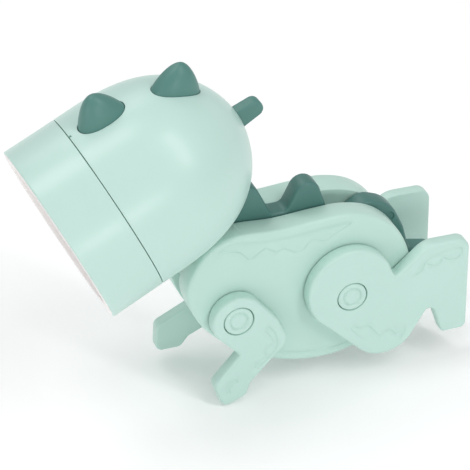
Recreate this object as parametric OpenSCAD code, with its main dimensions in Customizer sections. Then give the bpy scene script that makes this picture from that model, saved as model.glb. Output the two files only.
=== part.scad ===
// Folding dinosaur torch: a bullet-shaped lamp head on two bean-shaped side plates,
// with a spiked spine plate between them and four legs that swing on round pins.
// The animal faces -X, its left side is -Y and +Z is up. The origin is the middle of
// the footprint on the ground.

/* [Head] */
// Radius of the lamp head at its front rim
head_radius = 22.5; // [18:0.1:28]
// Radius of the lamp head just behind the seam
dome_radius = 22.4; // [18:0.1:28]
// Length of the front ring, from the rim to the seam
ring_length = 13.6; // [8:0.1:20]
// Length of the whole head, from the rim to the back of the dome
head_length = 49.5; // [40:0.5:60]
// How far the head points down below level at rest, in degrees
head_droop = 25.1; // [0:0.1:45]
// How far the head is seated turned to its left on its neck, in degrees
head_yaw = 3.1; // [0:0.1:4]
// How far the crest is turned about the head's axis towards the left, in degrees
crest_roll = 3.5; // [-5:0.1:6]
// Thickness of the dome's wall
shell_wall = 1.8; // [1.2:0.1:3]
// Travel of the push button at the back of the head
button_travel = 0.6; // [0.3:0.1:1.5]

/* [Crest] */
// Length of each crest fin along the head
fin_length = 11.8; // [8:0.1:16]
// Width of each crest fin across the head
fin_width = 7.2; // [4:0.1:10]
// Height of each crest fin above its foot
fin_height = 7.1; // [4:0.1:10]

/* [Body] */
// Thickness of each side plate
plate_thick = 6; // [3:0.1:8]
// How much thicker the right side plate is, as it takes the screws' heads
right_extra = 1.5; // [0:0.1:2]
// Half of the gap between the two side plates
half_gap = 3; // [2:0.1:5]
// Thickness of the spine plate and of the neck arm
spine_thick = 5.2; // [3:0.1:5.4]
// Distance between the front and hind leg pins
pin_spacing = 28.7; // [24:0.1:36]
// Height of both leg pins above the ground
pin_height = 23.37; // [15:0.01:40]

/* [Legs] */
// Thickness of each leg
leg_thick = 3.3; // [2:0.1:5]
// Clear space between a leg and its side plate
leg_gap = 0.3; // [0.2:0.05:1]
// Radius of the round recess that shows the pin's head
recess_radius = 3.85; // [3:0.05:5]
// Radius of the pin's shank
shank_radius = 2.5; // [1.5:0.05:3]
// Forward swing of the right front leg past the left one at rest, in degrees
right_front_swing = 22; // [0:1:40]

/* [Fits] */
// Radial clearance of a part that turns on a shaft
running = 0.06; // [0.02:0.01:0.1]
// Radial clearance of the bezel on the dome's spigot
ring_running = 0.06; // [0.02:0.01:0.1]

/* [Hidden] */
$fn = 96;
hind_x = 23.99;                         // hind pins stand this far behind the origin
body_y = 0.876;                         // middle plane of the body, off to the right as the
                                        // head is turned to the left
plate_out = half_gap + plate_thick;     // distance of the left plate's outer face from y = 0
right_out = plate_out + right_extra;    // the same for the right plate
leg_in = plate_out + leg_gap;           // the same for a left leg's inner face
leg_out = leg_in + leg_thick;           // the same for a left leg's outer face
half_spine = spine_thick / 2;
neck_at = 27;                           // neck pivot's distance behind the rim
pivot = [-44.21, 38.08];                // neck pivot, from the hind pins
front_pin = [-pin_spacing, 0];
cell_radius = 5.75;
cell_thick = 5.2;
dome_start = 15;                        // where the dome starts to close
screws = [[-14.5, 14], [11, 9.5], [-34.5, 8.5], [-23.5, 5.5], [-11.5, -11]];

// ---- curves -----------------------------------------------------------------------

function unit(v) = v / norm(v);

// points of one rounded corner at b, between a and c
function corner(a, b, c, r, k) =
    let (u = unit(a - b), w = unit(c - b), half = acos(u * w) / 2,
         m = b + unit(u + w) * r / sin(half),
         s = b + u * r / tan(half), e = b + w * r / tan(half),
         a0 = atan2(s[1] - m[1], s[0] - m[0]),
         a1 = atan2(e[1] - m[1], e[0] - m[0]),
         turn = (a1 - a0 + 540) % 360 - 180)
    r == 0 ? [b] : [for (i = [0:k]) m + r * [cos(a0 + turn * i / k), sin(a0 + turn * i / k)]];

// closed outline through corners given as [x, z, radius]
function rounded(q, k = 6) = let (n = len(q))
    [for (i = [0:n - 1]) let (a = q[(i + n - 1) % n], b = q[i], c = q[(i + 1) % n])
        each corner([a[0], a[1]], [b[0], b[1]], [c[0], c[1]], b[2], k)];

function flow(a, b, c, d, t) = 0.5 * (2 * b + (c - a) * t
    + (2 * a - 5 * b + 4 * c - d) * t * t + (3 * b - a - 3 * c + d) * t * t * t);

// smooth closed curve through the points q
function smooth(q, k = 5) = let (n = len(q))
    [for (i = [0:n - 1]) for (j = [0:k - 1])
        flow(q[(i + n - 1) % n], q[i], q[(i + 1) % n], q[(i + 2) % n], j / k)];

// dome radius, s from the rim: full behind the seam and closing at the back
function dome(s, r, stop) = s < dome_start ? r
    : r * pow(max(0, 1 - pow((s - dome_start) / (stop - dome_start), 3)), 0.54);

// points [radius, s] along the dome, from the seam side to its back
function dome_points(r, stop, k) = [for (i = [0:k])
    let (s = dome_start + (stop - dome_start) * sin(90 * i / k)) [dome(s, r, stop), s]];

// ---- placing ----------------------------------------------------------------------

// frame of the leg pins: hind pin axis at the origin
module on_body() { translate([hind_x, body_y, pin_height]) children(); }

// outline in the side plane, thick from y0 to y1
module slab(y0, y1) {
    translate([0, y1, 0]) rotate([90, 0, 0]) linear_extrude(y1 - y0) children();
}

// round bar across the body from y0 to y1 at a place in the side plane
module bar(p, r, y0, y1) {
    translate([p[0], y1, p[1]]) rotate([90, 0, 0]) cylinder(r = r, h = y1 - y0);
}

// frame of the head: +Z runs back along its axis from the rim, +X is its underside
module on_head() {
    on_body() translate([pivot[0], 0, pivot[1]]) rotate([0, 0, head_yaw])
        rotate([0, 90 - head_droop, 0]) rotate([0, 0, crest_roll])
        translate([0, 0, -neck_at]) children();
}

// the same frame kept square to the body, for the neck's slot and cheeks
module on_neck() {
    on_body() translate([pivot[0], 0, pivot[1]]) rotate([0, 90 - head_droop, 0])
        translate([0, 0, -neck_at]) children();
}

// ---- head -------------------------------------------------------------------------

neck_low = head_droop + 24;     // slot for the neck arm, as angles from the head's axis
neck_high = head_droop + 86.2;

module neck_slot() {
    slab(-half_gap, half_gap) polygon([
        [0, neck_at], [30 * sin(neck_low), neck_at + 30 * cos(neck_low)],
        [32, neck_at], [30 * sin(neck_high), neck_at + 30 * cos(neck_high)]]);
}

module head_shell() {
    inner_stop = head_length - shell_wall;
    inner_r = dome_radius - shell_wall;
    color([0.74, 0.87, 0.83]) difference() {
        union() {
            on_head() rotate_extrude() polygon(concat(
                [[19, 9.5], [20.4, 9.5], [20.4, ring_length + 0.2],
                 [dome_radius - 0.3, ring_length + 0.2]],
                dome_points(dome_radius, head_length, 26),
                [for (p = [26:-1:0]) dome_points(inner_r, inner_stop, 26)[p]],
                [[19, dome_start]]));
            // shelf for the battery tray
            on_head() rotate_extrude() polygon([[14.2, 20.6], [inner_r + 0.4, 20.6],
                [inner_r + 0.4, 21.8], [14.2, 21.8]]);
            // shelf for the switch board
            on_head() rotate_extrude() polygon([[6.8, 38.6], [16.3, 38.6], [15.3, 39.8], [6.8, 39.8]]);
            // two cheeks that carry the neck pin
            for (side = [-1, 1]) intersection() {
                on_head() rotate_extrude() polygon(concat([[0, dome_start]],
                    dome_points(inner_r + 0.3, inner_stop, 12)));
                on_neck() translate([0, side * 4.3, 0]) slab(-1.2, 1.2) union() {
                    translate([0, neck_at]) circle(r = 4.8);
                    translate([0, neck_at - 4.8]) square([24, 9.6]);
                }
            }
        }
        on_neck() neck_slot();
        on_neck() translate([0, 6, neck_at]) rotate([90, 0, 0]) cylinder(r = 2.02, h = 12);
        // opening for the button's tongue
        on_head() translate([-2.6, -2, 44]) cube([6.4, 4, 8]);
        // room for the button's collar behind the dome
        on_head() translate([0, 0, 43]) cylinder(r = 5.7, h = 3.6);
        // small mark at the seam, on the crest line
        on_head() translate([-dome_radius - 0.5, -0.4, ring_length]) cube([1, 0.8, 1]);
    }
}

// outline of a fin that closes from its foot to a rounded tip; p and q set its fullness
function fin_line(half, p, q, k = 12) = concat([[-half, -3]],
    [for (i = [0:k]) let (t = sin(90 * i / k))
        [-half * pow(max(0, 1 - pow(t, p)), 1 / q), fin_height * t]],
    [for (i = [k - 1:-1:0]) let (t = sin(90 * i / k))
        [half * pow(max(0, 1 - pow(t, p)), 1 / q), fin_height * t]],
    [[half, -3]]);

// rounded fin standing up along +Z, its foot sunk below 0
module fin_shape() {
    half = fin_length / 2;
    w = fin_width / 2;
    intersection() {
        translate([0, 0, -3]) linear_extrude(fin_height + 6)
            polygon([for (a = [0:15:345]) [half * cos(a), w * sin(a)]]);
        slab(-w - 1, w + 1) polygon(fin_line(half, 1.12, 1.72));
        rotate([0, 0, 90]) slab(-half - 1, half + 1) polygon(fin_line(w, 1.7, 1.9));
    }
}

// a crest fin cut to sit on the dome; s is its place along the head, lean its slope
module crest_fin(s, r, lean) {
    color([0.28, 0.5, 0.45]) on_head() difference() {
        translate([-r, 0, s]) rotate([0, -90 + lean, 0]) fin_shape();
        rotate_extrude() polygon(concat([[0, dome_start - 2], [dome_radius + 0.03,
            dome_start - 2]], [for (p = dome_points(dome_radius, head_length, 26))
            [p[0] + (p[0] > 0 ? 0.03 : 0), p[1] + 0.02]]));
    }
}

module crest_fin_front() { crest_fin(22.2, dome(22.2, dome_radius, head_length) - 0.5, 3); }

module crest_fin_middle() { crest_fin(39.8, dome(39.8, dome_radius, head_length) - 0.9, 37); }

module crest_button() {
    color([0.28, 0.5, 0.45]) on_head() union() {
        slab(-1.7, 1.7) polygon(rounded([[-2.2, 45.8, 0], [-1.4, 55.2, 1.75],
            [2.4, 55.6, 1.75], [3.4, 45.8, 0]], 8));
        translate([0, 0, 45]) cylinder(r = 5.2, h = 0.9);
    }
}

module switch_plunger() {
    color([0.15, 0.15, 0.16]) on_head() translate([0, 0, 43.2]) cylinder(r = 1.7, h = 1.7);
}

module switch_case() {
    color([0.2, 0.2, 0.21]) on_head() difference() {
        union() {
            translate([-3, -3, 41.1]) cube([6, 6, 3]);
            translate([0, 0, 44]) cylinder(r = 2.3, h = 0.1);
        }
        translate([0, 0, 42.3]) cylinder(r = 1.76, h = 3);
    }
}

module switch_board() {
    color([0.1, 0.32, 0.2]) on_head() translate([0, 0, 39.9]) cylinder(r = 9, h = 1.1);
}

module bezel_ring() {
    inside = 20.4 + ring_running;
    color([0.74, 0.87, 0.83]) on_head() rotate_extrude() polygon([
        [21.35, 0.42], [22.05, 0.42], [22.05, 0], [22.1, 0], [22.4, 0.12],
        [head_radius, 0.45], [22.42, ring_length - 0.25], [22.2, ring_length],
        [inside, ring_length],
        [inside, 5], [20.2, 4.8], [20.2, 1.9], [21.35, 1.9]]);
}

module lens_ring() {
    color([0.9, 0.88, 0.86]) on_head() rotate_extrude() polygon([
        [18.6, 0.22], [18.8, 0.02], [21.9, 0.02], [21.98, 0.1], [21.98, 0.36],
        [21.25, 0.36], [21.25, 1.8], [18.6, 1.8]]);
}

// clear disc with a slightly domed front
module lens() {
    dome = 90;
    color([0.92, 0.93, 0.93, 0.4]) on_head() union() {
        translate([0, 0, 1.9]) cylinder(r = 19.9, h = 1.1);
        intersection() {
            translate([0, 0, dome + 0.6]) sphere(r = dome, $fn = 160);
            cylinder(r = 18.4, h = 2.2);
        }
    }
}

// metal-coated bowl around the light
module reflector() {
    function bowl(r) = 11.2 - 7.6 * pow(r / 19.2, 2);
    color([0.82, 0.82, 0.84]) on_head() rotate_extrude() polygon(concat(
        [[19.9, 3.2], [19.9, 3.9]],
        [for (i = [0:10]) let (r = 19.2 - 1.55 * i) [r, bowl(r) + 0.9]],
        [for (i = [10:-1:0]) let (r = 19.2 - 1.55 * i) [r, bowl(r)]],
        [[19.2, 3.2]]));
}

module led_board() {
    color([0.9, 0.9, 0.88]) on_head() translate([0, 0, 12.4]) cylinder(r = 15, h = 1.1);
}

module led() {
    color([0.95, 0.9, 0.6]) on_head() union() {
        translate([-1.9, -1.9, 11.9]) cube([3.8, 3.8, 0.45]);
        translate([0, 0, 10.6]) cylinder(r = 1.6, h = 1.4);
        translate([0, 0, 10.6]) sphere(r = 1.6);
    }
}

// places of the three cells around the head's axis
module at_cells() { for (a = [60, 180, 300]) rotate([0, 0, a]) translate([7.4, 0, 0]) children(); }

module contact_plate() {
    color([0.8, 0.72, 0.45]) on_head() union() {
        translate([0, 0, 13.6]) difference() {
            cylinder(r = 14, h = 0.3);
            translate([0, 0, -1]) cylinder(r = 2, h = 3);
        }
        at_cells() translate([0, 0, 13.8]) cylinder(r1 = 2, r2 = 1, h = 0.5);
    }
}

module battery_tray() {
    color([0.85, 0.85, 0.83]) on_head() difference() {
        translate([0, 0, 14.2]) cylinder(r = 15.6, h = 6.1);
        at_cells() translate([0, 0, 13]) cylinder(r = cell_radius + 0.25, h = 6.7);
        translate([0, 0, 13]) cylinder(r = 1, h = 9);
    }
}

module button_cells() {
    color([0.75, 0.76, 0.78]) on_head() at_cells() union() {
        translate([0, 0, 14.4]) cylinder(r = 4.6, h = 0.4);
        translate([0, 0, 14.7]) cylinder(r = cell_radius, h = cell_thick - 0.3);
    }
}

// ---- neck -------------------------------------------------------------------------

module neck_arm() {
    color([0.72, 0.85, 0.81]) on_body() difference() {
        slab(-half_spine, half_spine) union() {
            translate(pivot) circle(r = 4.6);
            polygon(rounded([[pivot[0] - 2.8, pivot[1], 0], [-39.3, 22, 6], [-39, 8, 6],
                [-34, 1.6, 4], [-19.4, 1.6, 3], [-19.4, 9.4, 3], [-29, 12.5, 3],
                [-33.8, 22.5, 6], [pivot[0] + 2.8, pivot[1] + 1, 0]]));
        }
        bar(pivot, 2 + running, -5, 5);
        bar(screws[2], 1.4, -5, 5);
        bar(screws[3], 1.4, -5, 5);
    }
}

module neck_pin() { color([0.7, 0.71, 0.73]) on_body() bar(pivot, 2, -5.4, 5.4); }

// ---- body -------------------------------------------------------------------------

plate_curve = [[-40.1, 7], [-38.6, 13.4], [-34.2, 19], [-27.3, 21.2], [-17, 20.6],
    [-7.5, 21], [0.5, 20.9], [8, 18.3], [13.6, 12.6], [16.5, 4], [15.2, -5.5],
    [9.2, -13.4], [0.8, -17.4], [-8, -18.1], [-18, -15.9], [-28.3, -10.3], [-36.4, -2.3]];

// room that the head needs as it tilts
module head_sweep() {
    translate([pivot[0], 0, pivot[1]]) union() {
        sphere(r = 22.45);
        for (a = [0, 5]) rotate([0, -a, 0]) rotate([0, 0, head_yaw])
            rotate([0, 90 - head_droop, 0]) translate([0, 0, -neck_at - 1])
            cylinder(r = 22.9, h = neck_at + 1);
    }
}

// side plate with its outer face at y = -out; the pins' holes are blind from the outside
module side_plate(out) {
    difference() {
        slab(-out, -half_gap) polygon(smooth(plate_curve));
        head_sweep();
        bar([0, 0], shank_radius + 0.04, -out - 1, -out + 4);
        bar(front_pin, shank_radius + 0.04, -out - 1, -out + 4);
    }
}

module left_side_plate() {
    color([0.74, 0.87, 0.83]) on_body() difference() {
        union() {
            side_plate(plate_out);
            // round spacer that keeps the plates apart at the bottom
            bar(screws[4], 3.4, -half_gap - 0.5, half_gap - 0.05);
        }
        for (p = screws) bar(p, 1.12, -plate_out + 1.4, half_gap + 1);
    }
}

module right_side_plate() {
    color([0.74, 0.87, 0.83]) on_body() difference() {
        mirror([0, 1, 0]) side_plate(right_out);
        for (p = screws) {
            bar(p, 1.3, 0, right_out + 1);
            bar(p, 2.5, right_out - 1.9, right_out + 1);
        }
    }
}

module body_screws() {
    color([0.7, 0.71, 0.73]) on_body() for (p = screws) difference() {
        union() {
            bar(p, 2.2, right_out - 1.85, right_out - 0.3);
            bar(p, 1.1, -plate_out + 1.7, right_out - 1.8);
        }
        for (t = [0, 90]) translate([p[0], right_out, p[1]]) rotate([0, t, 0])
            cube([2.6, 2, 0.5], center = true);
    }
}

// dorsal plate: two spikes, a round hump over the hips and the tail
spine_curve = [[-27.2, 14.3, 1], [-27.2, 22.4, 1.2], [-21.9, 32.0, 2.2], [-16.8, 21.2, 1.6],
    [-12.9, 21.2, 1.8], [-7.0, 33.0, 3.3], [-1.6, 16.3, 2.2], [2.6, 16.3, 2.5],
    [7.3, 19.5, 4.5], [14.2, 16.9, 8], [18.6, 9.5, 9], [18.4, 3.4, 1.6],
    [25.2, 1.8, 3], [29.5, -3, 1.2], [19, -5.5, 5], [12, -3, 5], [5.5, 8, 6],
    [-8, 10.4, 4], [-21.5, 12.4, 3], [-24, 14.3, 1]];

module spine_plate() {
    color([0.28, 0.5, 0.45]) on_body() difference() {
        slab(-half_spine, half_spine) polygon(rounded(spine_curve));
        translate([pivot[0], 0, pivot[1]]) sphere(r = 22.6);
        bar(screws[0], 1.4, -5, 5);
        bar(screws[1], 1.4, -5, 5);
        // small round dimple on the hump
        bar([13.3, 13.6], 1.2, -half_spine - 1, -half_spine + 0.4);
    }
}

// ---- legs -------------------------------------------------------------------------

front_leg_curve = [[5.4, 3.6, 0], [9.8, -1.6, 9], [12.8, -8.4, 3.6], [3.0, -18.4, 1.2],
    [2.0, -21.6, 1.8], [-3.9, -23.9, 1.7], [-6.3, -17.0, 2.0], [0.3, -9.8, 0.5],
    [-5.2, -3.9, 0]];
front_hub = [for (a = [210:-7:42]) 6.5 * [cos(a), sin(a)]];

hind_leg_curve = [[-8.3, -5.4, 0], [10.2, -23.6, 8.6], [20.6, -6.6, 1.3],
    [23.7, -16, 0.9], [30.1, -16, 1.6], [30.1, 9.7, 3], [19, 10, 6], [11.2, 3.2, 0.6],
    [7.6, 8.6, 0], [-2, 4, 0]];

// a left leg around its own pin, outer face at -Y
module leg() {
    difference() {
        slab(-leg_out, -leg_in) children();
        bar([0, 0], recess_radius, -leg_out - 1, -leg_out + 1.7);
        bar([0, 0], shank_radius + running, -leg_out, -leg_in + 1);
    }
}

module front_leg() { leg() polygon(concat(rounded(front_leg_curve), front_hub)); }

module hind_leg() {
    leg() union() {
        translate([-0.3, 2]) circle(r = 10.9);
        polygon(rounded(hind_leg_curve));
    }
}

// pin fixed in the side plate, with a broad round head in the leg's recess
module leg_pin() {
    difference() {
        union() {
            bar([0, 0], 3.55, -leg_out, -leg_out + 1.4);
            bar([0, 0], shank_radius, -leg_out + 1.3, -plate_out + 3.8);
        }
        difference() {
            bar([0, 0], 2.35, -leg_out - 1, -leg_out + 0.25);
            bar([0, 0], 1.95, -leg_out - 2, -leg_out + 1);
        }
    }
}

module at_front() { translate([front_pin[0], 0, front_pin[1]]) children(); }

// the right side's copy, standing out further by the right plate's extra thickness
module right() { translate([0, right_extra, 0]) mirror([0, 1, 0]) children(); }

module front_left_leg() { color([0.75, 0.88, 0.83]) on_body() at_front() front_leg(); }

module front_right_leg() {
    color([0.75, 0.88, 0.83]) on_body() right() at_front()
        rotate([0, right_front_swing, 0]) front_leg();
}

module hind_left_leg() { color([0.75, 0.88, 0.83]) on_body() hind_leg(); }

module hind_right_leg() { color([0.75, 0.88, 0.83]) on_body() right() hind_leg(); }

module front_left_pin() { color([0.76, 0.89, 0.84]) on_body() at_front() leg_pin(); }

module front_right_pin() { color([0.76, 0.89, 0.84]) on_body() right() at_front() leg_pin(); }

module hind_left_pin() { color([0.76, 0.89, 0.84]) on_body() leg_pin(); }

module hind_right_pin() { color([0.76, 0.89, 0.84]) on_body() right() leg_pin(); }

// ---- output -----------------------------------------------------------------------

head_shell();
crest_fin_front();
crest_fin_middle();
crest_button();
switch_plunger();
switch_case();
switch_board();
bezel_ring();
lens_ring();
lens();
reflector();
led_board();
led();
contact_plate();
battery_tray();
button_cells();
neck_arm();
neck_pin();
left_side_plate();
right_side_plate();
spine_plate();
body_screws();
front_left_leg();
front_right_leg();
hind_left_leg();
hind_right_leg();
front_left_pin();
front_right_pin();
hind_left_pin();
hind_right_pin();
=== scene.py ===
import math

import bmesh
import bpy
import numpy as np
from mathutils import Matrix, Vector
from mathutils.geometry import delaunay_2d_cdt


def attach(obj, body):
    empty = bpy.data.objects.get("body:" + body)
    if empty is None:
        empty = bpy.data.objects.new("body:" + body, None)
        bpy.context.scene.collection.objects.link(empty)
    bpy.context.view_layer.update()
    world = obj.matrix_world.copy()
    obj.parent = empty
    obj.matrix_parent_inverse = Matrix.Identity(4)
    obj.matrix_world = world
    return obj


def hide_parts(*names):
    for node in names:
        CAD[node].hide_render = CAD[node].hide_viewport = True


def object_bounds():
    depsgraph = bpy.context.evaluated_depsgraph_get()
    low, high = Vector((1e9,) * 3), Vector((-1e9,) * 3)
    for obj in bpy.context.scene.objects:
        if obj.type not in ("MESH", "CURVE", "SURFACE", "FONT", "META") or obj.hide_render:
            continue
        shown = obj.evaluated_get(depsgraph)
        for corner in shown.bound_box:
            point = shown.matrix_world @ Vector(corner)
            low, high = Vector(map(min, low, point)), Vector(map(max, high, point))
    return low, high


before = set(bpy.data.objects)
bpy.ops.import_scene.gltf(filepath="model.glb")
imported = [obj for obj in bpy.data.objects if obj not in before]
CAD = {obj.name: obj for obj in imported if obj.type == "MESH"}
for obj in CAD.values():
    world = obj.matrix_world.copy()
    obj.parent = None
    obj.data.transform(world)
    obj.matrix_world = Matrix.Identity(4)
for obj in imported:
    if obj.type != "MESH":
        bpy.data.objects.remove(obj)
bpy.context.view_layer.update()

# ---- sizes, in millimetres and degrees, shared with the design ----------------------

HIND_X, BODY_Y, PIN_Z = 23.99, 0.876, 23.37  # hind pins and the body's middle plane
PIVOT = (-44.21, 38.08)       # neck pivot, from the hind pins
NECK_AT = 27.0                # the pivot's distance behind the front rim
DROOP, YAW, ROLL = 25.1, 3.1, 3.5  # the head: nose down, seated to its left, crest turned
HEAD_R, DOME_R = 22.5, 22.4   # radius of the front ring and of the dome
HEAD_LEN, RING = 49.5, 13.6   # the head's length, and the seam's distance behind the rim
WALL = 1.8                    # wall of the dome
STRAIGHT = 15                 # where the dome's straight part ends, behind the rim
GAP, PLATE_OUT = 3.0, 9.0     # inner and outer face of a side plate, from the middle plane
LEG_IN, LEG_OUT = 9.3, 12.6   # inner and outer face of a leg
SPINE = 2.6                   # half the thickness of the spine plate
TONGUE = 1.7                  # half the thickness of the push button's tongue
PLATE_RIM, LEG_RIM = (0.95, 0.3), (0.75, 0.35)  # rounding of the outer and inner rim
SPINE_RIM, TONGUE_RIM = (0.8, 0.8), (0.75, 0.75)
RIGHT = 1.5                   # the right plate is this much thicker
FRONT_PIN, HIND_PIN = (-28.7, 0.0), (0.0, 0.0)
FAR_LEG_TURN = 22             # the right front leg rests this much further forward
SCREWS = [(-14.5, 14.0), (11.0, 9.5), (-34.5, 8.5), (-23.5, 5.5), (-11.5, -11.0)]
SCREW_HOLE, SCREW_CORE, SCREW_DEPTH = 2.5, 1.3, 1.9

BODY = Matrix.Translation((HIND_X, BODY_Y, PIN_Z))
AT_PIVOT = BODY @ Matrix.Translation((PIVOT[0], 0, PIVOT[1]))
NOSE_DOWN = Matrix.Rotation(math.radians(90 - DROOP), 4, "Y")
SEATED = Matrix.Rotation(math.radians(YAW), 4, "Z")
TO_RIM = Matrix.Translation((0, 0, -NECK_AT))
NECK = AT_PIVOT @ NOSE_DOWN @ TO_RIM
HEAD = AT_PIVOT @ SEATED @ NOSE_DOWN @ Matrix.Rotation(math.radians(ROLL), 4, "Z") @ TO_RIM

ROUND = 144                   # sides of the large turned shapes


# ---- curves ------------------------------------------------------------------------

def rounded(q, k=8):
    """Closed outline through corners given as (x, z, radius)."""
    out = []
    n = len(q)
    for i in range(n):
        a, b, c = (np.array(q[j][:2], float) for j in ((i - 1) % n, i, (i + 1) % n))
        r = q[i][2]
        if r == 0:
            out.append(b)
            continue
        u, w = (a - b) / np.linalg.norm(a - b), (c - b) / np.linalg.norm(c - b)
        half = math.acos(float(np.clip(u @ w, -1, 1))) / 2
        m = b + (u + w) / np.linalg.norm(u + w) * r / math.sin(half)
        s, e = b + u * r / math.tan(half), b + w * r / math.tan(half)
        a0, a1 = math.atan2(*(s - m)[::-1]), math.atan2(*(e - m)[::-1])
        turn = (a1 - a0 + 3 * math.pi) % (2 * math.pi) - math.pi
        out += [m + r * np.array([math.cos(a0 + turn * j / k), math.sin(a0 + turn * j / k)])
                for j in range(k + 1)]
    return np.array(out)


def smooth(q, k=8, closed=True):
    """Smooth curve through the points q."""
    q = [np.array(p, float) for p in q]
    n = len(q)
    out = []
    for i in range(n if closed else n - 1):
        a, b, c, d = (q[j % n] if closed else q[min(max(j, 0), n - 1)]
                      for j in (i - 1, i, i + 1, i + 2))
        for j in range(k):
            t = j / k
            out.append(0.5 * (2 * b + (c - a) * t + (2 * a - 5 * b + 4 * c - d) * t * t
                              + (3 * b - a - 3 * c + d) * t ** 3))
    if not closed:
        out.append(q[-1])
    return np.array(out)


def even(line, step):
    """The closed line with its long edges split and its tiny ones merged."""
    pts = [line[0]]
    for p in line[1:]:
        if np.linalg.norm(p - pts[-1]) > step * 0.3:
            pts.append(p)
    if np.linalg.norm(pts[0] - pts[-1]) < step * 0.3:
        pts.pop()
    out = []
    for i, a in enumerate(pts):
        b = pts[(i + 1) % len(pts)]
        m = max(1, int(math.ceil(np.linalg.norm(b - a) / step)))
        out += [a + (b - a) * j / m for j in range(m)]
    return np.array(out)


def circle(x, z, r, n=64):
    """Closed circle, anticlockwise."""
    a = np.arange(n) * 2 * math.pi / n
    return np.stack([x + r * np.cos(a), z + r * np.sin(a)], 1)


def area(line):
    """Area inside the closed line, positive when it runs anticlockwise."""
    x, z = line[:, 0], line[:, 1]
    return 0.5 * float(np.sum(x * np.roll(z, -1) - np.roll(x, -1) * z))


def distance(pts, line):
    """Distance of each point to the closed line."""
    best = np.empty(len(pts))
    a, b = line, np.roll(line, -1, 0)
    d = b - a
    batch = 2000
    for i in range(0, len(pts), batch):
        p = pts[i:i + batch, None, :]
        t = np.clip(((p - a) * d).sum(2) / np.maximum((d * d).sum(1), 1e-12), 0, 1)
        best[i:i + batch] = np.sqrt((((a + t[..., None] * d) - p) ** 2).sum(2)).min(1)
    return best


def inside(pts, line):
    """Which of the points lie inside the closed line."""
    x, z = pts[:, 0:1], pts[:, 1:2]
    a, b = line, np.roll(line, -1, 0)
    cross = (a[:, 1] > z) != (b[:, 1] > z)
    with np.errstate(divide="ignore", invalid="ignore"):
        at = (b[:, 0] - a[:, 0]) * (z - a[:, 1]) / (b[:, 1] - a[:, 1]) + a[:, 0]
    return (np.sum(cross & (x < at), 1) % 2) == 1


def offset(line, d):
    """The line moved inwards by d, point by point."""
    t = np.roll(line, -1, 0) - np.roll(line, 1, 0)
    t /= np.maximum(np.linalg.norm(t, axis=1, keepdims=True), 1e-9)
    n = np.stack([-t[:, 1], t[:, 0]], 1) * (1 if area(line) > 0 else -1)
    return line + n * d


def step_up(v, w):
    """Smooth step from 0 at v = -w to 1 at v = w."""
    t = np.clip((v + w) / (2 * w), 0, 1)
    return t * t * (3 - 2 * t)


def round_off(d, r):
    """Depth of an edge rounded to radius r, at distance d from it."""
    return np.where(d < r, r - np.sqrt(np.maximum(r * r - (r - np.minimum(d, r)) ** 2, 0)), 0)


# ---- face of a plate: rounded rim, holes and shallow moulded patches ----------------

FILL = 1.5       # spacing of the points that fill a flat face
NEAR = 0.09      # closest that two points of a rounding or a patch may lie
OFF_EDGE = 0.012  # closest that a point may lie to an outline


def thinned(cand, kept, line, holes):
    """The outline's points, then each candidate that keeps clear of all before it. The last
    candidates fill the flat part, at a wider spacing."""
    cells = {}

    def put(p):
        cells.setdefault((int(p[0] // 1.0), int(p[1] // 1.0)), []).append(p)

    for p in kept:
        put(p)
    out = [kept]
    for c, pts in enumerate(cand):
        gap = FILL * 0.5 if c == len(cand) - 1 else NEAR
        ok = inside(pts, line) & (distance(pts, line) > OFF_EDGE)
        for h in holes:
            ok &= ~inside(pts, h) & (distance(pts, h) > OFF_EDGE)
        new = []
        for p in pts[ok]:
            cx, cz = int(p[0] // 1.0), int(p[1] // 1.0)
            if all((p[0] - q[0]) ** 2 + (p[1] - q[1]) ** 2 >= gap * gap
                   for i in (-1, 0, 1) for j in (-1, 0, 1)
                   for q in cells.get((cx + i, cz + j), ())):
                new.append(p)
                put(p)
        if new:
            out.append(np.array(new))
    return np.concatenate(out)


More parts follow.
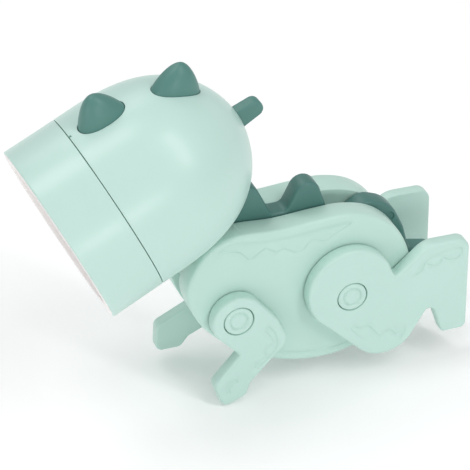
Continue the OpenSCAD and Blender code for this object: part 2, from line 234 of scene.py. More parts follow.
def face(line, holes, r, hole_r, patches):
    """Points, depth below the flat face, triangles and edge loops of one face of a plate.
    r and hole_r round its rim and its holes. A patch is (outline, depth, half the width of
    its edge, fade): along the direction (x, z) of fade = (x, z, from, to) it fades in."""
    rows = [line] + list(holes)
    cand = []
    for k in range(1, 7):
        d = r * (1 - math.cos(math.radians(15 * k)))
        ring = offset(line, d)
        cand.append(ring[distance(ring, line) > 0.97 * d])
    if hole_r:
        for h in holes:
            for k in range(1, 4):
                cand.append(offset(h, -hole_r * (1 - math.cos(math.radians(30 * k)))))
    for poly, _, w, _ in patches:
        edge = even(poly, 0.35)
        for d in (-w * 1.1, -w * 0.45, w * 0.45, w * 1.1):
            cand.append(offset(edge, d))
    lo, hi = line.min(0), line.max(0)
    cand.append(np.array([(x + (FILL / 2 if j % 2 else 0), z)
                          for j, z in enumerate(np.arange(lo[1], hi[1], FILL * 0.866))
                          for x in np.arange(lo[0], hi[0], FILL)]))
    pts = thinned(cand, np.concatenate(rows), line, holes)

    edges, at = [], 0
    for row in rows:
        n = len(row)
        edges += [(at + i, at + (i + 1) % n) for i in range(n)]
        at += n
    res = delaunay_2d_cdt([Vector(p) for p in pts], edges, [], 0, 1e-5)
    v = np.array([tuple(p) for p in res[0]])
    back = {s: i for i, sources in enumerate(res[3]) for s in sources}
    tris = np.array([f for f in res[2] if len(f) == 3])
    mid = v[tris].mean(1)
    ok = inside(mid, line)
    for h in holes:
        ok &= ~inside(mid, h)

    depth = round_off(distance(v, line), r)
    if hole_r:
        for h in holes:
            depth += round_off(distance(v, h), hole_r)
    for poly, deep, w, fade in patches:
        sd = distance(v, poly) * np.where(inside(v, poly), 1, -1)
        keep = 1.0
        if fade:
            along = v @ np.array(fade[:2])
            keep = step_up((along - fade[2]) / (fade[3] - fade[2]) * 2 - 1, 1.0)
        depth += deep * keep * step_up(sd, w)
    loops, at = [], 0
    for row in rows:
        loops.append([back[at + i] for i in range(len(row))])
        at += len(row)
    return v, depth, tris[ok], loops


SHARP = 38       # edges that turn more than this stay sharp


class Shell:
    """Collects points and faces, in millimetres, for one mesh."""

    def __init__(self):
        self.v, self.f = [], []

    def add(self, pts):
        """Adds points and gives their numbers."""
        at = len(self.v)
        self.v += [tuple(p) for p in pts]
        return list(range(at, len(self.v)))

    def strip(self, a, b):
        """Faces between two closed rows of points."""
        n = len(a)
        for i in range(n):
            self.f.append((a[i], a[(i + 1) % n], b[(i + 1) % n], b[i]))

    def tube(self, a, b):
        """A closed solid between two rows of points."""
        a, b = self.add(a), self.add(b)
        self.strip(a, b)
        self.f += [tuple(a), tuple(b)]

    def lathe(self, profile, n):
        """Turns (radius, height) pairs round Z; a radius of 0 makes a pole."""
        rings = []
        for r, h in profile:
            if r < 1e-6:
                pts = [(0, 0, h)]
            else:
                pts = [(r * math.cos(2 * math.pi * i / n), r * math.sin(2 * math.pi * i / n), h)
                       for i in range(n)]
            rings.append(self.add(pts))
        for a, b in zip(rings, rings[1:]):
            if len(a) == 1 and len(b) == 1:
                continue
            if len(a) == 1:
                self.f += [(a[0], b[i], b[(i + 1) % n]) for i in range(n)]
            elif len(b) == 1:
                self.f += [(b[0], a[(i + 1) % n], a[i]) for i in range(n)]
            else:
                self.strip(a, b)

    def mesh(self, name, matrix, sharp=SHARP):
        """The finished object, in metres."""
        me = bpy.data.meshes.new(name)
        me.from_pydata([tuple((matrix @ Vector(p)) * 0.001) for p in self.v], [], self.f)
        me.validate()
        bm = bmesh.new()
        bm.from_mesh(me)
        bmesh.ops.remove_doubles(bm, verts=bm.verts, dist=2e-6)
        bmesh.ops.recalc_face_normals(bm, faces=bm.faces)
        bm.to_mesh(me)
        bm.free()
        ob = bpy.data.objects.new(name, me)
        bpy.context.scene.collection.objects.link(ob)
        soften(ob, sharp)
        return ob


def soften(ob, sharp=SHARP):
    """Smooth shading, with sharp edges where the surface turns more."""
    me = ob.data
    me.polygons.foreach_set("use_smooth", [True] * len(me.polygons))
    me.set_sharp_from_angle(angle=math.radians(sharp))
    me.update()


HOLE_EDGE = 0.22  # rounding of the holes


def slab(sh, line, y0, y1, rims, patches=(), holes=(), recess=None, step=0.5):
    """Adds a plate between y0 (shown face) and y1, with the rims of the two rounded. recess
    is (depth, inner radius, through) for its round holes (x, z, r)."""
    line = even(line, step)
    rings = [circle(x, z, r) for x, z, r in holes]
    v0, d0, t0, l0 = face(line, rings, rims[0], HOLE_EDGE if holes else 0, patches)
    s = 1 if y1 > y0 else -1
    a = sh.add([(x, y0 + s * d, z) for (x, z), d in zip(v0, d0)])
    sh.f += [tuple(a[i] for i in t) for t in t0]
    inner = [circle(x, z, recess[1]) for x, z, r in holes] if recess and recess[2] else []
    v1, d1, t1, l1 = face(line, inner, rims[1], 0, [])
    b = sh.add([(x, y1 - s * d, z) for (x, z), d in zip(v1, d1)])
    sh.f += [tuple(b[i] for i in t) for t in t1]
    sh.strip([a[i] for i in l0[0]], [b[i] for i in l1[0]])
    for k, (x, z, r) in enumerate(holes):
        deep, small, through = recess
        top = [a[i] for i in l0[1 + k]]
        ca, cb = circle(x, z, r), circle(x, z, small)
        c = sh.add([(p[0], y0 + s * deep, p[1]) for p in ca])
        d = sh.add([(p[0], y0 + s * deep, p[1]) for p in cb])
        sh.strip(top, c)
        sh.strip(c, d)
        if through:
            sh.strip(d, [b[i] for i in l1[1 + k]])
        else:
            sh.f.append(tuple(d))


def swap_mesh(ob, me):
    """Gives the object another mesh, under the old one's name."""
    old = ob.data
    name = old.name
    ob.data = me
    bpy.data.meshes.remove(old)
    me.name = name


def drop(ob):
    """Removes an object and its mesh."""
    me = ob.data
    bpy.data.objects.remove(ob)
    bpy.data.meshes.remove(me)


def cut(ob, cutters):
    """Takes the cutters out of the piece."""
    for c in cutters:
        m = ob.modifiers.new("cut", "BOOLEAN")
        m.operation, m.solver, m.object = "DIFFERENCE", "EXACT", c
    bpy.context.view_layer.update()
    me = bpy.data.meshes.new_from_object(ob.evaluated_get(bpy.context.evaluated_depsgraph_get()))
    ob.modifiers.clear()
    swap_mesh(ob, me)
    for c in cutters:
        drop(c)
    soften(ob)
    return ob


def join(ob, others):
    """Adds the others' meshes to the object's own."""
    for o in others:
        bm = bmesh.new()
        bm.from_mesh(ob.data)
        bm.from_mesh(o.data)
        bm.to_mesh(ob.data)
        bm.free()
        drop(o)


# ---- surfaces ----------------------------------------------------------------------

def linear(c):
    """Linear values of an sRGB colour."""
    return [v / 12.92 if v <= 0.04045 else ((v + 0.055) / 1.055) ** 2.4 for v in c]


def surface(name, light, dark, rough, metal=0.0, size=60.0, bump=0.05, clear=0.0, ior=1.46):
    """A moulded or metal surface: slow tone changes, fine grain and a varying gloss."""
    m = bpy.data.materials.new(name)
    m.use_nodes = True
    t = m.node_tree
    t.nodes.clear()

    def node(kind, **values):
        n = t.nodes.new("ShaderNode" + kind)
        for key, value in values.items():
            n.inputs[key.replace("_", " ")].default_value = value
        return n

    out = node("OutputMaterial")
    b = node("BsdfPrincipled", Metallic=metal, IOR=ior, Transmission_Weight=clear)
    t.links.new(b.outputs["BSDF"], out.inputs["Surface"])
    where = node("TexCoord")
    tone = node("TexNoise", Scale=size, Detail=3.0, Roughness=0.55)
    t.links.new(where.outputs["Object"], tone.inputs["Vector"])
    ramp = node("ValToRGB")
    for element, place, colour in zip(ramp.color_ramp.elements, (0.3, 0.7), (dark, light)):
        element.position = place
        element.color = (*linear(colour), 1)
    t.links.new(tone.outputs["Fac"], ramp.inputs["Fac"])
    t.links.new(ramp.outputs["Color"], b.inputs["Base Color"])
    grain = node("TexNoise", Scale=900.0, Detail=2.0)
    t.links.new(where.outputs["Object"], grain.inputs["Vector"])
    gloss = node("MapRange", To_Min=rough[0], To_Max=rough[1])
    t.links.new(grain.outputs["Fac"], gloss.inputs["Value"])
    t.links.new(gloss.outputs["Result"], b.inputs["Roughness"])
    relief = node("Bump", Strength=bump, Distance=0.0001)
    t.links.new(grain.outputs["Fac"], relief.inputs["Height"])
    t.links.new(relief.outputs["Normal"], b.inputs["Normal"])
    return m


# slot, light tone, dark tone, range of roughness, other values
PAINT = {
    "shell": ("mint_shell", (0.760, 0.877, 0.842), (0.749, 0.868, 0.832), (0.28, 0.34),
              dict(size=45, bump=0.03)),
    "body": ("mint_body", (0.753, 0.874, 0.832), (0.741, 0.864, 0.821), (0.32, 0.40),
             dict(size=70)),
    "leg": ("mint_leg", (0.758, 0.876, 0.838), (0.746, 0.867, 0.828), (0.32, 0.40),
            dict(size=80)),
    "green": ("dark_green", (0.338, 0.528, 0.498), (0.326, 0.513, 0.484), (0.36, 0.46),
              dict(size=90)),
    # the spine's green is darker than the fins' green: painted shade for the deep gap between the
    # side plates
    "spine": ("dark_green", (0.312, 0.487, 0.461), (0.300, 0.472, 0.447), (0.36, 0.46),
              dict(size=90)),
    "white": ("lens_white", (0.972, 0.957, 0.951), (0.962, 0.946, 0.939), (0.42, 0.50),
              dict(size=90, bump=0.02)),
    "clear": ("clear_lens", (0.99, 0.98, 0.975), (0.98, 0.97, 0.965), (0.2, 0.28),
              dict(size=90, bump=0.01, clear=0.1, ior=1.49)),
    "mirror": ("reflector_silver", (0.88, 0.88, 0.90), (0.84, 0.84, 0.86), (0.12, 0.2),
               dict(metal=1.0, size=120, bump=0.02)),
    "board": ("board_white", (0.91, 0.91, 0.89), (0.87, 0.87, 0.85), (0.45, 0.55),
              dict(size=200)),
    "circuit": ("board_green", (0.12, 0.38, 0.24), (0.09, 0.31, 0.19), (0.4, 0.5),
                dict(size=300)),
    "phosphor": ("led_yellow", (0.96, 0.90, 0.56), (0.93, 0.85, 0.46), (0.3, 0.4),
                 dict(size=700)),
    "brass": ("contact_brass", (0.83, 0.72, 0.45), (0.77, 0.65, 0.38), (0.25, 0.35),
              dict(metal=1.0, size=250)),
    "tray": ("tray_white", (0.88, 0.88, 0.86), (0.85, 0.85, 0.83), (0.45, 0.55),
             dict(size=90)),
    "cell": ("cell_steel", (0.80, 0.80, 0.82), (0.74, 0.74, 0.76), (0.22, 0.32),
             dict(metal=1.0, size=220)),
    "steel": ("pin_steel", (0.74, 0.75, 0.77), (0.66, 0.67, 0.69), (0.28, 0.4),
              dict(metal=1.0, size=260)),
    "black": ("switch_black", (0.10, 0.10, 0.11), (0.075, 0.075, 0.085), (0.4, 0.5),
              dict(size=260)),
}
SKIN = {key: surface(*look, **more) for key, (*look, more) in PAINT.items()}


def dress(ob, skin):
    """Gives the object its material."""
    ob.data.materials.clear()
    ob.data.materials.append(SKIN[skin])


def piece(ob, skin, body, *nodes):
    """A visible piece that rides on a body and stands for the given nodes."""
    dress(ob, skin)
    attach(ob, body)
    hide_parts(*nodes)


for node, skin in {
        "switch_plunger": "black", "switch_case": "black", "switch_board": "circuit",
        "lens": "clear", "reflector": "mirror", "led_board": "board", "led": "phosphor",
        "contact_plate": "brass", "battery_tray": "tray", "button_cells": "cell",
        "neck_pin": "steel", "neck_arm": "body", "body_screws": "steel"}.items():
    dress(CAD[node], skin)


# ---- head --------------------------------------------------------------------------

def dome(s, r=DOME_R, stop=HEAD_LEN):
    """Radius of the dome at the distance s behind the rim."""
    if s < STRAIGHT:
        return r
    return r * max(0.0, 1 - ((s - STRAIGHT) / (stop - STRAIGHT)) ** 3) ** 0.54


def dome_line(r, stop, k):
    """(radius, distance) pairs along the dome, closer together towards its pole."""
    pts = [(dome(s, r, stop), s) for s in
           (STRAIGHT + (stop - STRAIGHT) * math.sin(math.radians(90 * i / k))
            for i in range(k + 1))]
    return pts[:-1] + [(0.0, stop)]


def arc(x, z, r, a0, a1, k):
    return [(x + r * math.cos(math.radians(a0 + (a1 - a0) * i / k)),
             z + r * math.sin(math.radians(a0 + (a1 - a0) * i / k))) for i in range(k + 1)]


def block(matrix, lo, hi):
    """A box to cut with."""
    sh = Shell()
    sh.add([(x, y, z) for x in (lo[0], hi[0]) for y in (lo[1], hi[1]) for z in (lo[2], hi[2])])
    sh.f += [(0, 1, 3, 2), (4, 6, 7, 5), (0, 4, 5, 1), (2, 3, 7, 6), (0, 2, 6, 4), (1, 5, 7, 3)]
    return sh.mesh("cutter", matrix)


def prism(matrix, line, y0, y1):
    """The outline (x, z) stretched from y0 to y1."""
    sh = Shell()
    sh.tube([(x, y0, z) for x, z in line], [(x, y1, z) for x, z in line])
    return sh.mesh("cutter", matrix)


FIN_HALF, FIN_WIDE, FIN_HIGH = 5.9, 3.6, 7.1   # half length, half width, height
FIN_OVAL = 0.91                                # below 1 the foot is fuller than an ellipse
FIN_SINK, FIN_TIP = -1.6, 40                   # foot below the dome, steps up to the tip
FIN_GROOVE = 0.12                              # gap round the foot
FIN_FRONT = (22.2, dome(22.2) - 0.5, 3)        # distance behind the rim, radius, slope
FIN_MIDDLE = (39.8, dome(39.8) - 0.9, 37)


def fin_foot(more=0.0, n=64):
    """Oval outline of a fin's foot."""
    def bulge(v):
        return math.copysign(abs(v) ** FIN_OVAL, v)

    return [((FIN_HALF + more) * bulge(math.cos(t)), (FIN_WIDE + more) * bulge(math.sin(t)))
            for t in (2 * math.pi * i / n for i in range(n))]


def fin_place(s, r, lean):
    return (HEAD @ Matrix.Translation((-r, 0, s))
            @ Matrix.Rotation(math.radians(-90 + lean), 4, "Y"))


def foot_cutter(place):
    """Cuts the fine groove that shows where a fin enters the dome."""
    sh = Shell()
    foot = fin_foot(FIN_GROOVE)
    sh.tube([(x, y, -0.75) for x, y in foot], [(x, y, 2.5) for x, y in foot])
    return sh.mesh("cutter", place)


def fin(place, node):
    """A crest fin: an oval foot that closes upwards to a rounded tip."""
    sh = Shell()
    foot = fin_foot()
    n = len(foot)
    rings = [sh.add([(x, y, FIN_SINK) for x, y in foot])]
    for k in range(FIN_TIP):
        t = math.sin(math.radians(90 * k / FIN_TIP))
        a, b = (1 - t ** 1.12) ** (1 / 1.72), (1 - t ** 1.7) ** (1 / 1.9)
        rings.append(sh.add([(x * a, y * b, FIN_HIGH * t) for x, y in foot]))
    tip = sh.add([(0, 0, FIN_HIGH)])[0]
    for a, b in zip(rings, rings[1:]):
        sh.strip(a, b)
    sh.f += [(tip, rings[-1][(i + 1) % n], rings[-1][i]) for i in range(n)]
    sh.f.append(tuple(rings[0]))
    piece(sh.mesh(node + "_skin", place, 75), "green", "head", node)


# rear shell: the dome, its wall and the spigot that the front ring turns on
outer = arc(DOME_R - 0.2, RING + 0.36, 0.2, -90, 0, 5) + dome_line(DOME_R, HEAD_LEN, 60)
inner = dome_line(DOME_R - WALL, HEAD_LEN - WALL, 40)[::-1]
sh = Shell()
sh.lathe([(0.0, HEAD_LEN - WALL)] + inner[1:] + [(19.0, 15.0), (19.0, 9.5), (20.4, 9.5),
         (20.4, RING + 0.16)] + outer, ROUND)
shell = sh.mesh("head_shell_skin", HEAD)

# slot for the neck arm, from its lower to its upper end
low, high, reach = math.radians(DROOP + 24), math.radians(DROOP + 86.2), 30
slot_line = [(0, NECK_AT), (reach * math.sin(low), NECK_AT + reach * math.cos(low)),
             (32, NECK_AT), (reach * math.sin(high), NECK_AT + reach * math.cos(high))]
button_hole = ((-2.6, -2.0, 44), (3.8, 2.0, 52))
seam_mark = ((-DOME_R - 0.5, -0.35, RING - 0.1), (-DOME_R + 0.6, 0.35, RING + 0.75))
cut(shell, [prism(NECK, slot_line, -GAP, GAP), block(HEAD, *button_hole),
            block(HEAD, *seam_mark),
            foot_cutter(fin_place(*FIN_FRONT)), foot_cutter(fin_place(*FIN_MIDDLE))])

# inside it: a shelf and the two cheeks that hold the neck pin
SHELF_IN, SHELF_OUT, SHELF_FRONT, SHELF_BACK = 14.2, 20.5, 20.6, 21.8
CHEEK_R, CHEEK_BACK, CHEEK_IN, CHEEK_OUT = 4.8, 19.6, 3.1, 5.5
sh = Shell()
sh.lathe([(SHELF_IN, SHELF_FRONT), (SHELF_OUT, SHELF_FRONT), (SHELF_OUT, SHELF_BACK),
          (SHELF_IN, SHELF_BACK), (SHELF_IN, SHELF_FRONT)], 96)
inside_parts = [cut(sh.mesh("shelf", HEAD), [prism(NECK, slot_line, -GAP, GAP)])]
for side in (-1, 1):
    line = ([(CHEEK_BACK, NECK_AT - CHEEK_R)] + arc(0, NECK_AT, CHEEK_R, -90, -270, 24)
            + [(CHEEK_BACK, NECK_AT + CHEEK_R)])
    inside_parts.append(prism(NECK, line, side * CHEEK_IN, side * CHEEK_OUT))
join(shell, inside_parts)
piece(shell, "shell", "head", "head_shell")

# front ring: rounded lip, slight taper and a rounded edge at the seam; (radius, distance
# behind the rim) pairs, as for all turned pieces of the head
SEAT, SEAT_BACK = 21.35, 1.9      # where the lens ring sits in it
sh = Shell()
sh.lathe([(SEAT, SEAT_BACK), (SEAT, 0.42), (22.05, 0.42), (22.05, 0.12)]
         + arc(HEAD_R - 0.35, 0.47, 0.35, -90, 0, 8)
         + [(22.46, 5.0), (22.42, 9.5)] + arc(DOME_R - 0.2, RING - 0.2, 0.2, 0, 90, 5)
         + [(20.46, RING), (20.46, 5.0), (20.2, 4.8), (20.2, SEAT_BACK), (SEAT, SEAT_BACK)],
         ROUND)
piece(sh.mesh("bezel_ring_skin", HEAD), "shell", "bezel", "bezel_ring")

# pale ring round the lens, flush with the lip
sh = Shell()
sh.lathe([(18.6, 1.8), (18.6, 0.35)] + arc(18.8, 0.22, 0.2, 180, 270, 4)
         + arc(21.9, 0.1, 0.08, -90, 0, 3) + [(21.98, 0.36), (21.25, 0.36), (21.25, 1.8),
         (18.6, 1.8)], ROUND)
piece(sh.mesh("lens_ring_skin", HEAD), "white", "bezel", "lens_ring")

fin(fin_place(*FIN_FRONT), "crest_fin_front")
fin(fin_place(*FIN_MIDDLE), "crest_fin_middle")

# push button: a rounded tongue on a flat collar
tongue = rounded([(-2.2, 45.85, 0), (-1.55, 55.3, 1.9), (2.45, 55.7, 1.9), (3.4, 45.85, 0)], 12)
sh = Shell()
slab(sh, tongue, -TONGUE, TONGUE, TONGUE_RIM, step=0.35)
sh.lathe([(0, 45.0), (5.2, 45.0), (5.2, 45.9), (0, 45.9)], 64)
piece(sh.mesh("crest_button_skin", HEAD), "green", "button", "crest_button")

# ---- side plates -------------------------------------------------------------------

plate_curve = [(-40.1, 7), (-38.6, 13.4), (-34.2, 19), (-27.3, 21.2), (-17, 20.6), (-7.5, 21),
               (0.5, 20.9), (8, 18.3), (13.6, 12.6), (16.5, 4), (15.2, -5.5), (9.2, -13.4),
               (0.8, -17.4), (-8, -18.1), (-18, -15.9), (-28.3, -10.3), (-36.4, -2.3)]
plate_line = smooth(plate_curve, 10)[::-1]

wave = [(-32.4, 17.7), (-30.9, 17.6), (-29.0, 17.3), (-27.1, 16.6), (-26.0, 15.4), (-25.0, 14.3),
        (-23.8, 14.4), (-22.4, 15.3), (-21.0, 16.1), (-19.6, 15.7), (-18.2, 14.6), (-17.1, 15.0),
        (-16.0, 15.1), (-14.6, 14.3), (-12.6, 13.4), (-11.2, 13.8), (-9.3, 15.8), (-7.9, 15.7),
        (-5.4, 14.9), (-3.4, 16.1), (-1.2, 17.2), (0.8, 18.4)]
top_edge = [(-1.2, 18.7), (-4.0, 18.6), (-9.6, 18.4), (-15.2, 18.1), (-20.7, 18.3), (-26.8, 19.1),
            (-29.6, 19.0), (-31.8, 18.3)]
patch = smooth(wave + top_edge, 5)
belly = [(-17.4, -13.6), (-13.0, -14.9), (-8.0, -15.6), (-3.0, -15.4), (0.5, -14.9), (0.5, -15.3),
         (-3.0, -15.9), (-8.0, -16.1), (-13.0, -15.4), (-17.6, -14.1)]
belly_patch = smooth(belly, 5)


def ball(r, n=ROUND // 2):
    """A ball round the neck pivot, to cut with."""
    sh = Shell()
    sh.lathe([(r * math.sin(math.radians(180 * i / n)) if 0 < i < n else 0.0,
               r * math.cos(math.radians(180 * i / n))) for i in range(n + 1)], ROUND)
    return sh.mesh("cutter", AT_PIVOT)


def sweep_tools():
    """Room for the head as it tilts: a ball and the two ends of the ring's path."""
    tools = [ball(22.45)]
    for a in (0, 5):
        sh = Shell()
        sh.lathe([(0, -NECK_AT - 1), (22.9, -NECK_AT - 1), (22.9, 0), (0, 0)], ROUND)
        tools.append(sh.mesh("cutter", AT_PIVOT @ Matrix.Rotation(math.radians(-a), 4, "Y")
                             @ SEATED @ NOSE_DOWN))
    return tools


plate_patches = [(patch, 0.34, 0.17, None), (belly_patch, 0.2, 0.14, None)]
for side, name in ((-1, "left"), (1, "right")):
    holes = [(x, z, SCREW_HOLE) for x, z in SCREWS] if side > 0 else []
    out = PLATE_OUT + (RIGHT if side > 0 else 0)
    sh = Shell()
    slab(sh, plate_line, side * out, side * GAP, PLATE_RIM, plate_patches, holes,
         (SCREW_DEPTH, SCREW_CORE, False))
    ob = cut(sh.mesh(name + "_side_plate_skin", BODY), sweep_tools())
    if side < 0:
        # spacer between the plates, round the lowest screw
        x, z = SCREWS[-1]
        top = 2 * GAP - 0.05
        sh = Shell()
        sh.lathe([(SCREW_CORE, -0.5), (3.4, -0.5), (3.4, top), (SCREW_CORE, top),
                  (SCREW_CORE, -0.5)], 48)
        join(ob, [sh.mesh("spacer", BODY @ Matrix.Translation((x, -GAP, z))
                          @ Matrix.Rotation(math.radians(-90), 4, "X"))])
    piece(ob, "body", "body", name + "_side_plate")

# ---- spine plate -------------------------------------------------------------------

# two spikes, the hump over the hips, the tail and the lower edge
spine_line = rounded([(-27.2, 14.3, 1), (-27.2, 22.4, 1.2), (-21.9, 32.0, 2.2), (-16.8, 21.2, 1.6),
                      (-12.9, 21.2, 1.8), (-7.0, 33.0, 3.3), (-1.6, 16.3, 2.2), (2.6, 16.3, 2.5),
                      (7.3, 19.5, 4.5), (14.0, 16.9, 8), (17.3, 9.8, 9), (18.9, 3.2, 1.6),
                      (25.2, 1.8, 3), (29.5, -3, 1.2), (19, -5.5, 5), (12, -3, 5), (5.5, 8, 6),
                      (-8, 10.4, 4), (-21.5, 12.4, 3), (-24, 14.3, 1)], 10)
dimple = circle(13.3, 13.6, 1.2, 32)
sh = Shell()
slab(sh, spine_line, -SPINE, SPINE, SPINE_RIM, [(dimple, 0.35, 0.12, None)])
# the spine plate takes the darker green, painted shade for the gap between the plates
piece(cut(sh.mesh("spine_plate_skin", BODY), [ball(22.6)]), "spine", "body", "spine_plate")

# ---- legs --------------------------------------------------------------------------
# Each outline and patch is given from the leg's own pin.

FRONT_HUB, HIND_HUB, HIND_HUB_AT = 6.5, 10.9, np.array([-0.3, 2.0])
front_line = [(5.4, 3.6, 0), (9.8, -1.6, 9), (12.8, -8.4, 3.6), (3.0, -18.4, 1.2),
              (2.0, -21.6, 1.8), (-3.9, -23.9, 1.7), (-6.3, -17.0, 2.0), (0.3, -9.8, 0.5),
              (-5.2, -3.9, 0)]
front_hub = [(FRONT_HUB * math.cos(math.radians(a)), FRONT_HUB * math.sin(math.radians(a)), 0)
             for a in range(210, 41, -6)]
front_leg = rounded(front_line + front_hub, 8)

hind_line = [(-8.3, -5.4, 0), (10.2, -23.6, 8.6), (20.6, -6.6, 1.3), (23.7, -16, 0.9),
             (30.1, -16, 1.6), (30.1, 9.7, 3), (19, 10, 6), (11.2, 3.2, 0.6), (7.6, 8.6, 0)]


def round_hub(line, hub, r):
    """The outline with its part inside the hub's circle replaced by the circle's far side."""
    far = np.linalg.norm(line - hub, axis=1) >= r
    first = next(i for i in range(len(line)) if far[i] and not far[i - 1])
    line = np.roll(line, -first, 0)
    line = line[np.linalg.norm(line - hub, axis=1) >= r]
    a0 = math.degrees(math.atan2(*(line[-1] - hub)[::-1]))
    a1 = math.degrees(math.atan2(*(line[0] - hub)[::-1])) % 360
    bend = [hub + r * np.array([math.cos(math.radians(a)), math.sin(math.radians(a))])
            for a in np.linspace(a0, a1, 58)[1:-1]]
    return np.concatenate([line, np.array(bend)])


hind_leg = round_hub(even(rounded(hind_line, 8), 0.5), HIND_HUB_AT, HIND_HUB)

# shallow moulded patches
front_patch = smooth([(7.2, -3.4), (6.8, -4.4), (7.9, -6.3), (8.5, -8.1), (7.2, -9.0), (6.7, -10.2),
                      (6.7, -11.4), (5.4, -12.4), (4.3, -13.2), (4.2, -14.2), (5.1, -14.1),
                      (6.7, -12.9), (8.2, -11.5), (9.3, -10.1), (9.8, -8.4), (9.3, -6.0),
                      (8.2, -4.0)], 5)
foot_patch = smooth([(-0.9, -16.3), (-2.6, -17.1), (-3.3, -18.6), (-3.0, -19.8), (-2.3, -19.9),
                     (-2.4, -18.8), (-1.6, -17.7), (-0.5, -17.2)], 5)
hind_patch = smooth([(16.2, 2.2), (17.8, 3.1), (18.7, 4.9), (20.5, 4.1), (22.4, 4.2), (23.2, 5.6),
                     (25.0, 4.6), (26.6, 4.5), (28.1, 5.7), (27.9, 7.5), (25.7, 7.6), (23.9, 7.4),
                     (20.7, 6.5), (18.5, 5.4), (16.8, 3.7)], 5)
knee_patch = smooth([(-0.3, -9.0), (1.0, -8.8), (2.3, -9.6), (4.0, -9.2), (5.7, -10.8),
                     (7.4, -12.9), (8.7, -11.9), (10.3, -12.0), (11.6, -13.4), (12.6, -12.6),
                     (13.9, -12.3), (13.9, -13.4), (12.7, -15.3), (10.7, -16.2), (8.1, -16.0),
                     (5.2, -14.7), (2.5, -12.4)], 5)
LEG_MARK = (0.32, 0.16)       # depth and half the width of a patch's edge
front_marks = [(front_patch, *LEG_MARK, None), (foot_patch, *LEG_MARK, None)]
hind_marks = [(hind_patch, *LEG_MARK, None),
              (knee_patch, *LEG_MARK, (0.3, 0.95, -12.2, -9.8))]
LEG_HOLE, HOLE_DEEP = 3.8, 1.7                # recess in the leg, round the pin's head
PIN_HEAD, PIN_SHANK, PIN_START, PIN_PLAY = 3.6, 2.5, 5.2, 0.06
HEAD_DEEP, HEAD_EDGE = 1.4, 0.42              # the pin head's height and rounding
pin_groove = [(2.58, 0.0), (2.45, 0.1), (2.3, 0.28), (2.15, 0.34), (2.0, 0.28), (1.85, 0.1),
              (1.72, 0.0)]                    # radius and depth of the ring in the pin head


def leg(name, line, marks, pin, side, turn=0.0):
    """A leg and the pin it swings on; the right ones are mirrored and further out."""
    out = RIGHT if side > 0 else 0
    sh = Shell()
    slab(sh, line, -LEG_OUT, -LEG_IN, LEG_RIM, marks, [(0.0, 0.0, LEG_HOLE)],
         (HOLE_DEEP, PIN_SHANK + PIN_PLAY, True), step=0.4)
    place = (BODY @ Matrix.Translation((0, out, 0))
             @ Matrix.Diagonal((1, 1 if side < 0 else -1, 1, 1))
             @ Matrix.Translation((pin[0], 0, pin[1]))
             @ Matrix.Rotation(math.radians(turn), 4, "Y"))
    piece(sh.mesh(name + "_leg_skin", place), "leg", name, name + "_leg")
    sh = Shell()
    sh.lathe([(0, PIN_START), (PIN_SHANK, PIN_START), (PIN_SHANK, LEG_OUT - HEAD_DEEP),
              (PIN_HEAD, LEG_OUT - HEAD_DEEP)]
             + arc(PIN_HEAD - HEAD_EDGE, LEG_OUT - HEAD_EDGE, HEAD_EDGE, 0, 90, 6)
             + [(r, LEG_OUT - deep) for r, deep in pin_groove]
             + [(0.9, LEG_OUT), (0.0, LEG_OUT)], 72)
    at = (BODY @ Matrix.Translation((pin[0], out, pin[1]))
          @ Matrix.Rotation(math.radians(-90 * side), 4, "X"))
    piece(sh.mesh(name + "_pin_skin", at), "leg", "body", name + "_pin")


leg("front_left", front_leg, front_marks, FRONT_PIN, -1)
leg("front_right", front_leg, front_marks, FRONT_PIN, 1, FAR_LEG_TURN)
leg("hind_left", hind_leg, hind_marks, HIND_PIN, -1)
leg("hind_right", hind_leg, hind_marks, HIND_PIN, 1)

# ---- studio, in metres -------------------------------------------------------------


def link(name, data):
    """A new object in the scene."""
    ob = bpy.data.objects.new(name, data)
    bpy.context.scene.collection.objects.link(ob)
    return ob


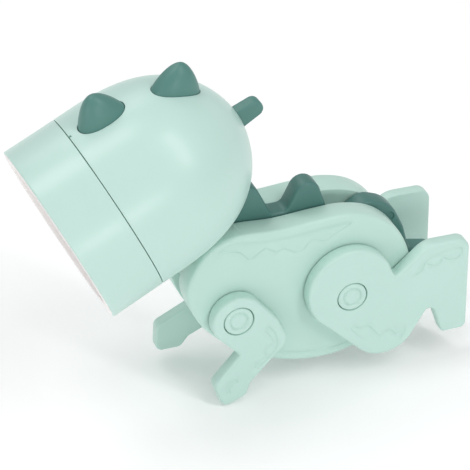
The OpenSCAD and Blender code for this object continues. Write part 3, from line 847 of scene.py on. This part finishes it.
HALF_FLOOR, BELOW = 4, 0.0003
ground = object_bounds()[0].z - BELOW
me = bpy.data.meshes.new("floor")
me.from_pydata([(-HALF_FLOOR, -HALF_FLOOR, 0), (HALF_FLOOR, -HALF_FLOOR, 0),
                (HALF_FLOOR, HALF_FLOOR, 0), (-HALF_FLOOR, HALF_FLOOR, 0)], [], [(0, 1, 2, 3)])
floor = link("floor", me)
floor.location.z = ground
m = bpy.data.materials.new("floor")
m.use_nodes = True
for key, value in {"Base Color": (0.90, 0.90, 0.90, 1), "Emission Color": (1.0, 1.0, 1.0, 1),
                   "Emission Strength": 0.17, "Roughness": 0.9,
                   "Specular IOR Level": 0.1}.items():
    m.node_tree.nodes["Principled BSDF"].inputs[key].default_value = value
me.materials.append(m)

world = bpy.data.worlds.new("studio")
bpy.context.scene.world = world
world.use_nodes = True
bg = world.node_tree.nodes["Background"]
bg.inputs["Color"].default_value = (0.99, 0.99, 1.0, 1)
bg.inputs["Strength"].default_value = 0.488

HEAD_MID = Vector((-0.02, 0.0, 0.06))
LAMP_FAR = 1.0


def softbox(name, way, wide, tall, glow):
    """A softbox in the direction "way" from the head, turned to it; glow is its brightness."""
    d = bpy.data.lights.new(name, "AREA")
    d.shape = "RECTANGLE"
    d.size, d.size_y, d.energy = wide, tall, glow * math.pi * wide * tall
    ob = link(name, d)
    ob.location = HEAD_MID + Vector(way).normalized() * LAMP_FAR
    ob.rotation_mode = "QUATERNION"
    ob.rotation_quaternion = (HEAD_MID - ob.location).to_track_quat("-Z", "Y")


softbox("upper_left", (-0.38, 0.10, 0.91), 0.30, 0.50, 4.6)
softbox("front", (0.03, -0.98, 0.16), 0.26, 0.17, 7.6)
softbox("right_strip", (0.32, -0.56, 0.76), 0.08, 0.90, 13.0)
softbox("left_key", (-0.88, -0.42, 0.10), 0.40, 0.24, 3.4)
softbox("back", (-0.10, 0.66, 0.74), 0.50, 0.50, 1.8)

# camera: 21 degrees round to the left, 33 degrees above level
ROUND_LEFT, ABOVE = math.radians(21), math.radians(33)
look = Vector((math.cos(ABOVE) * math.sin(ROUND_LEFT), math.cos(ABOVE) * math.cos(ROUND_LEFT),
               -math.sin(ABOVE)))
right = Vector((math.cos(ROUND_LEFT), -math.sin(ROUND_LEFT), 0.0))
cam = link("camera", bpy.data.cameras.new("camera"))
cam.rotation_mode = "QUATERNION"
cam.rotation_quaternion = Matrix((right, right.cross(look), -look)).transposed().to_quaternion()
cam.location = (-0.21688, -0.56165, 0.43036)
cam.data.lens = 234.95
cam.data.sensor_width = 36
cam.data.clip_start, cam.data.clip_end = 0.01, 20
cam.data.dof.use_dof = False
bpy.context.scene.camera = cam
bpy.context.scene.view_settings.view_transform = "Standard"
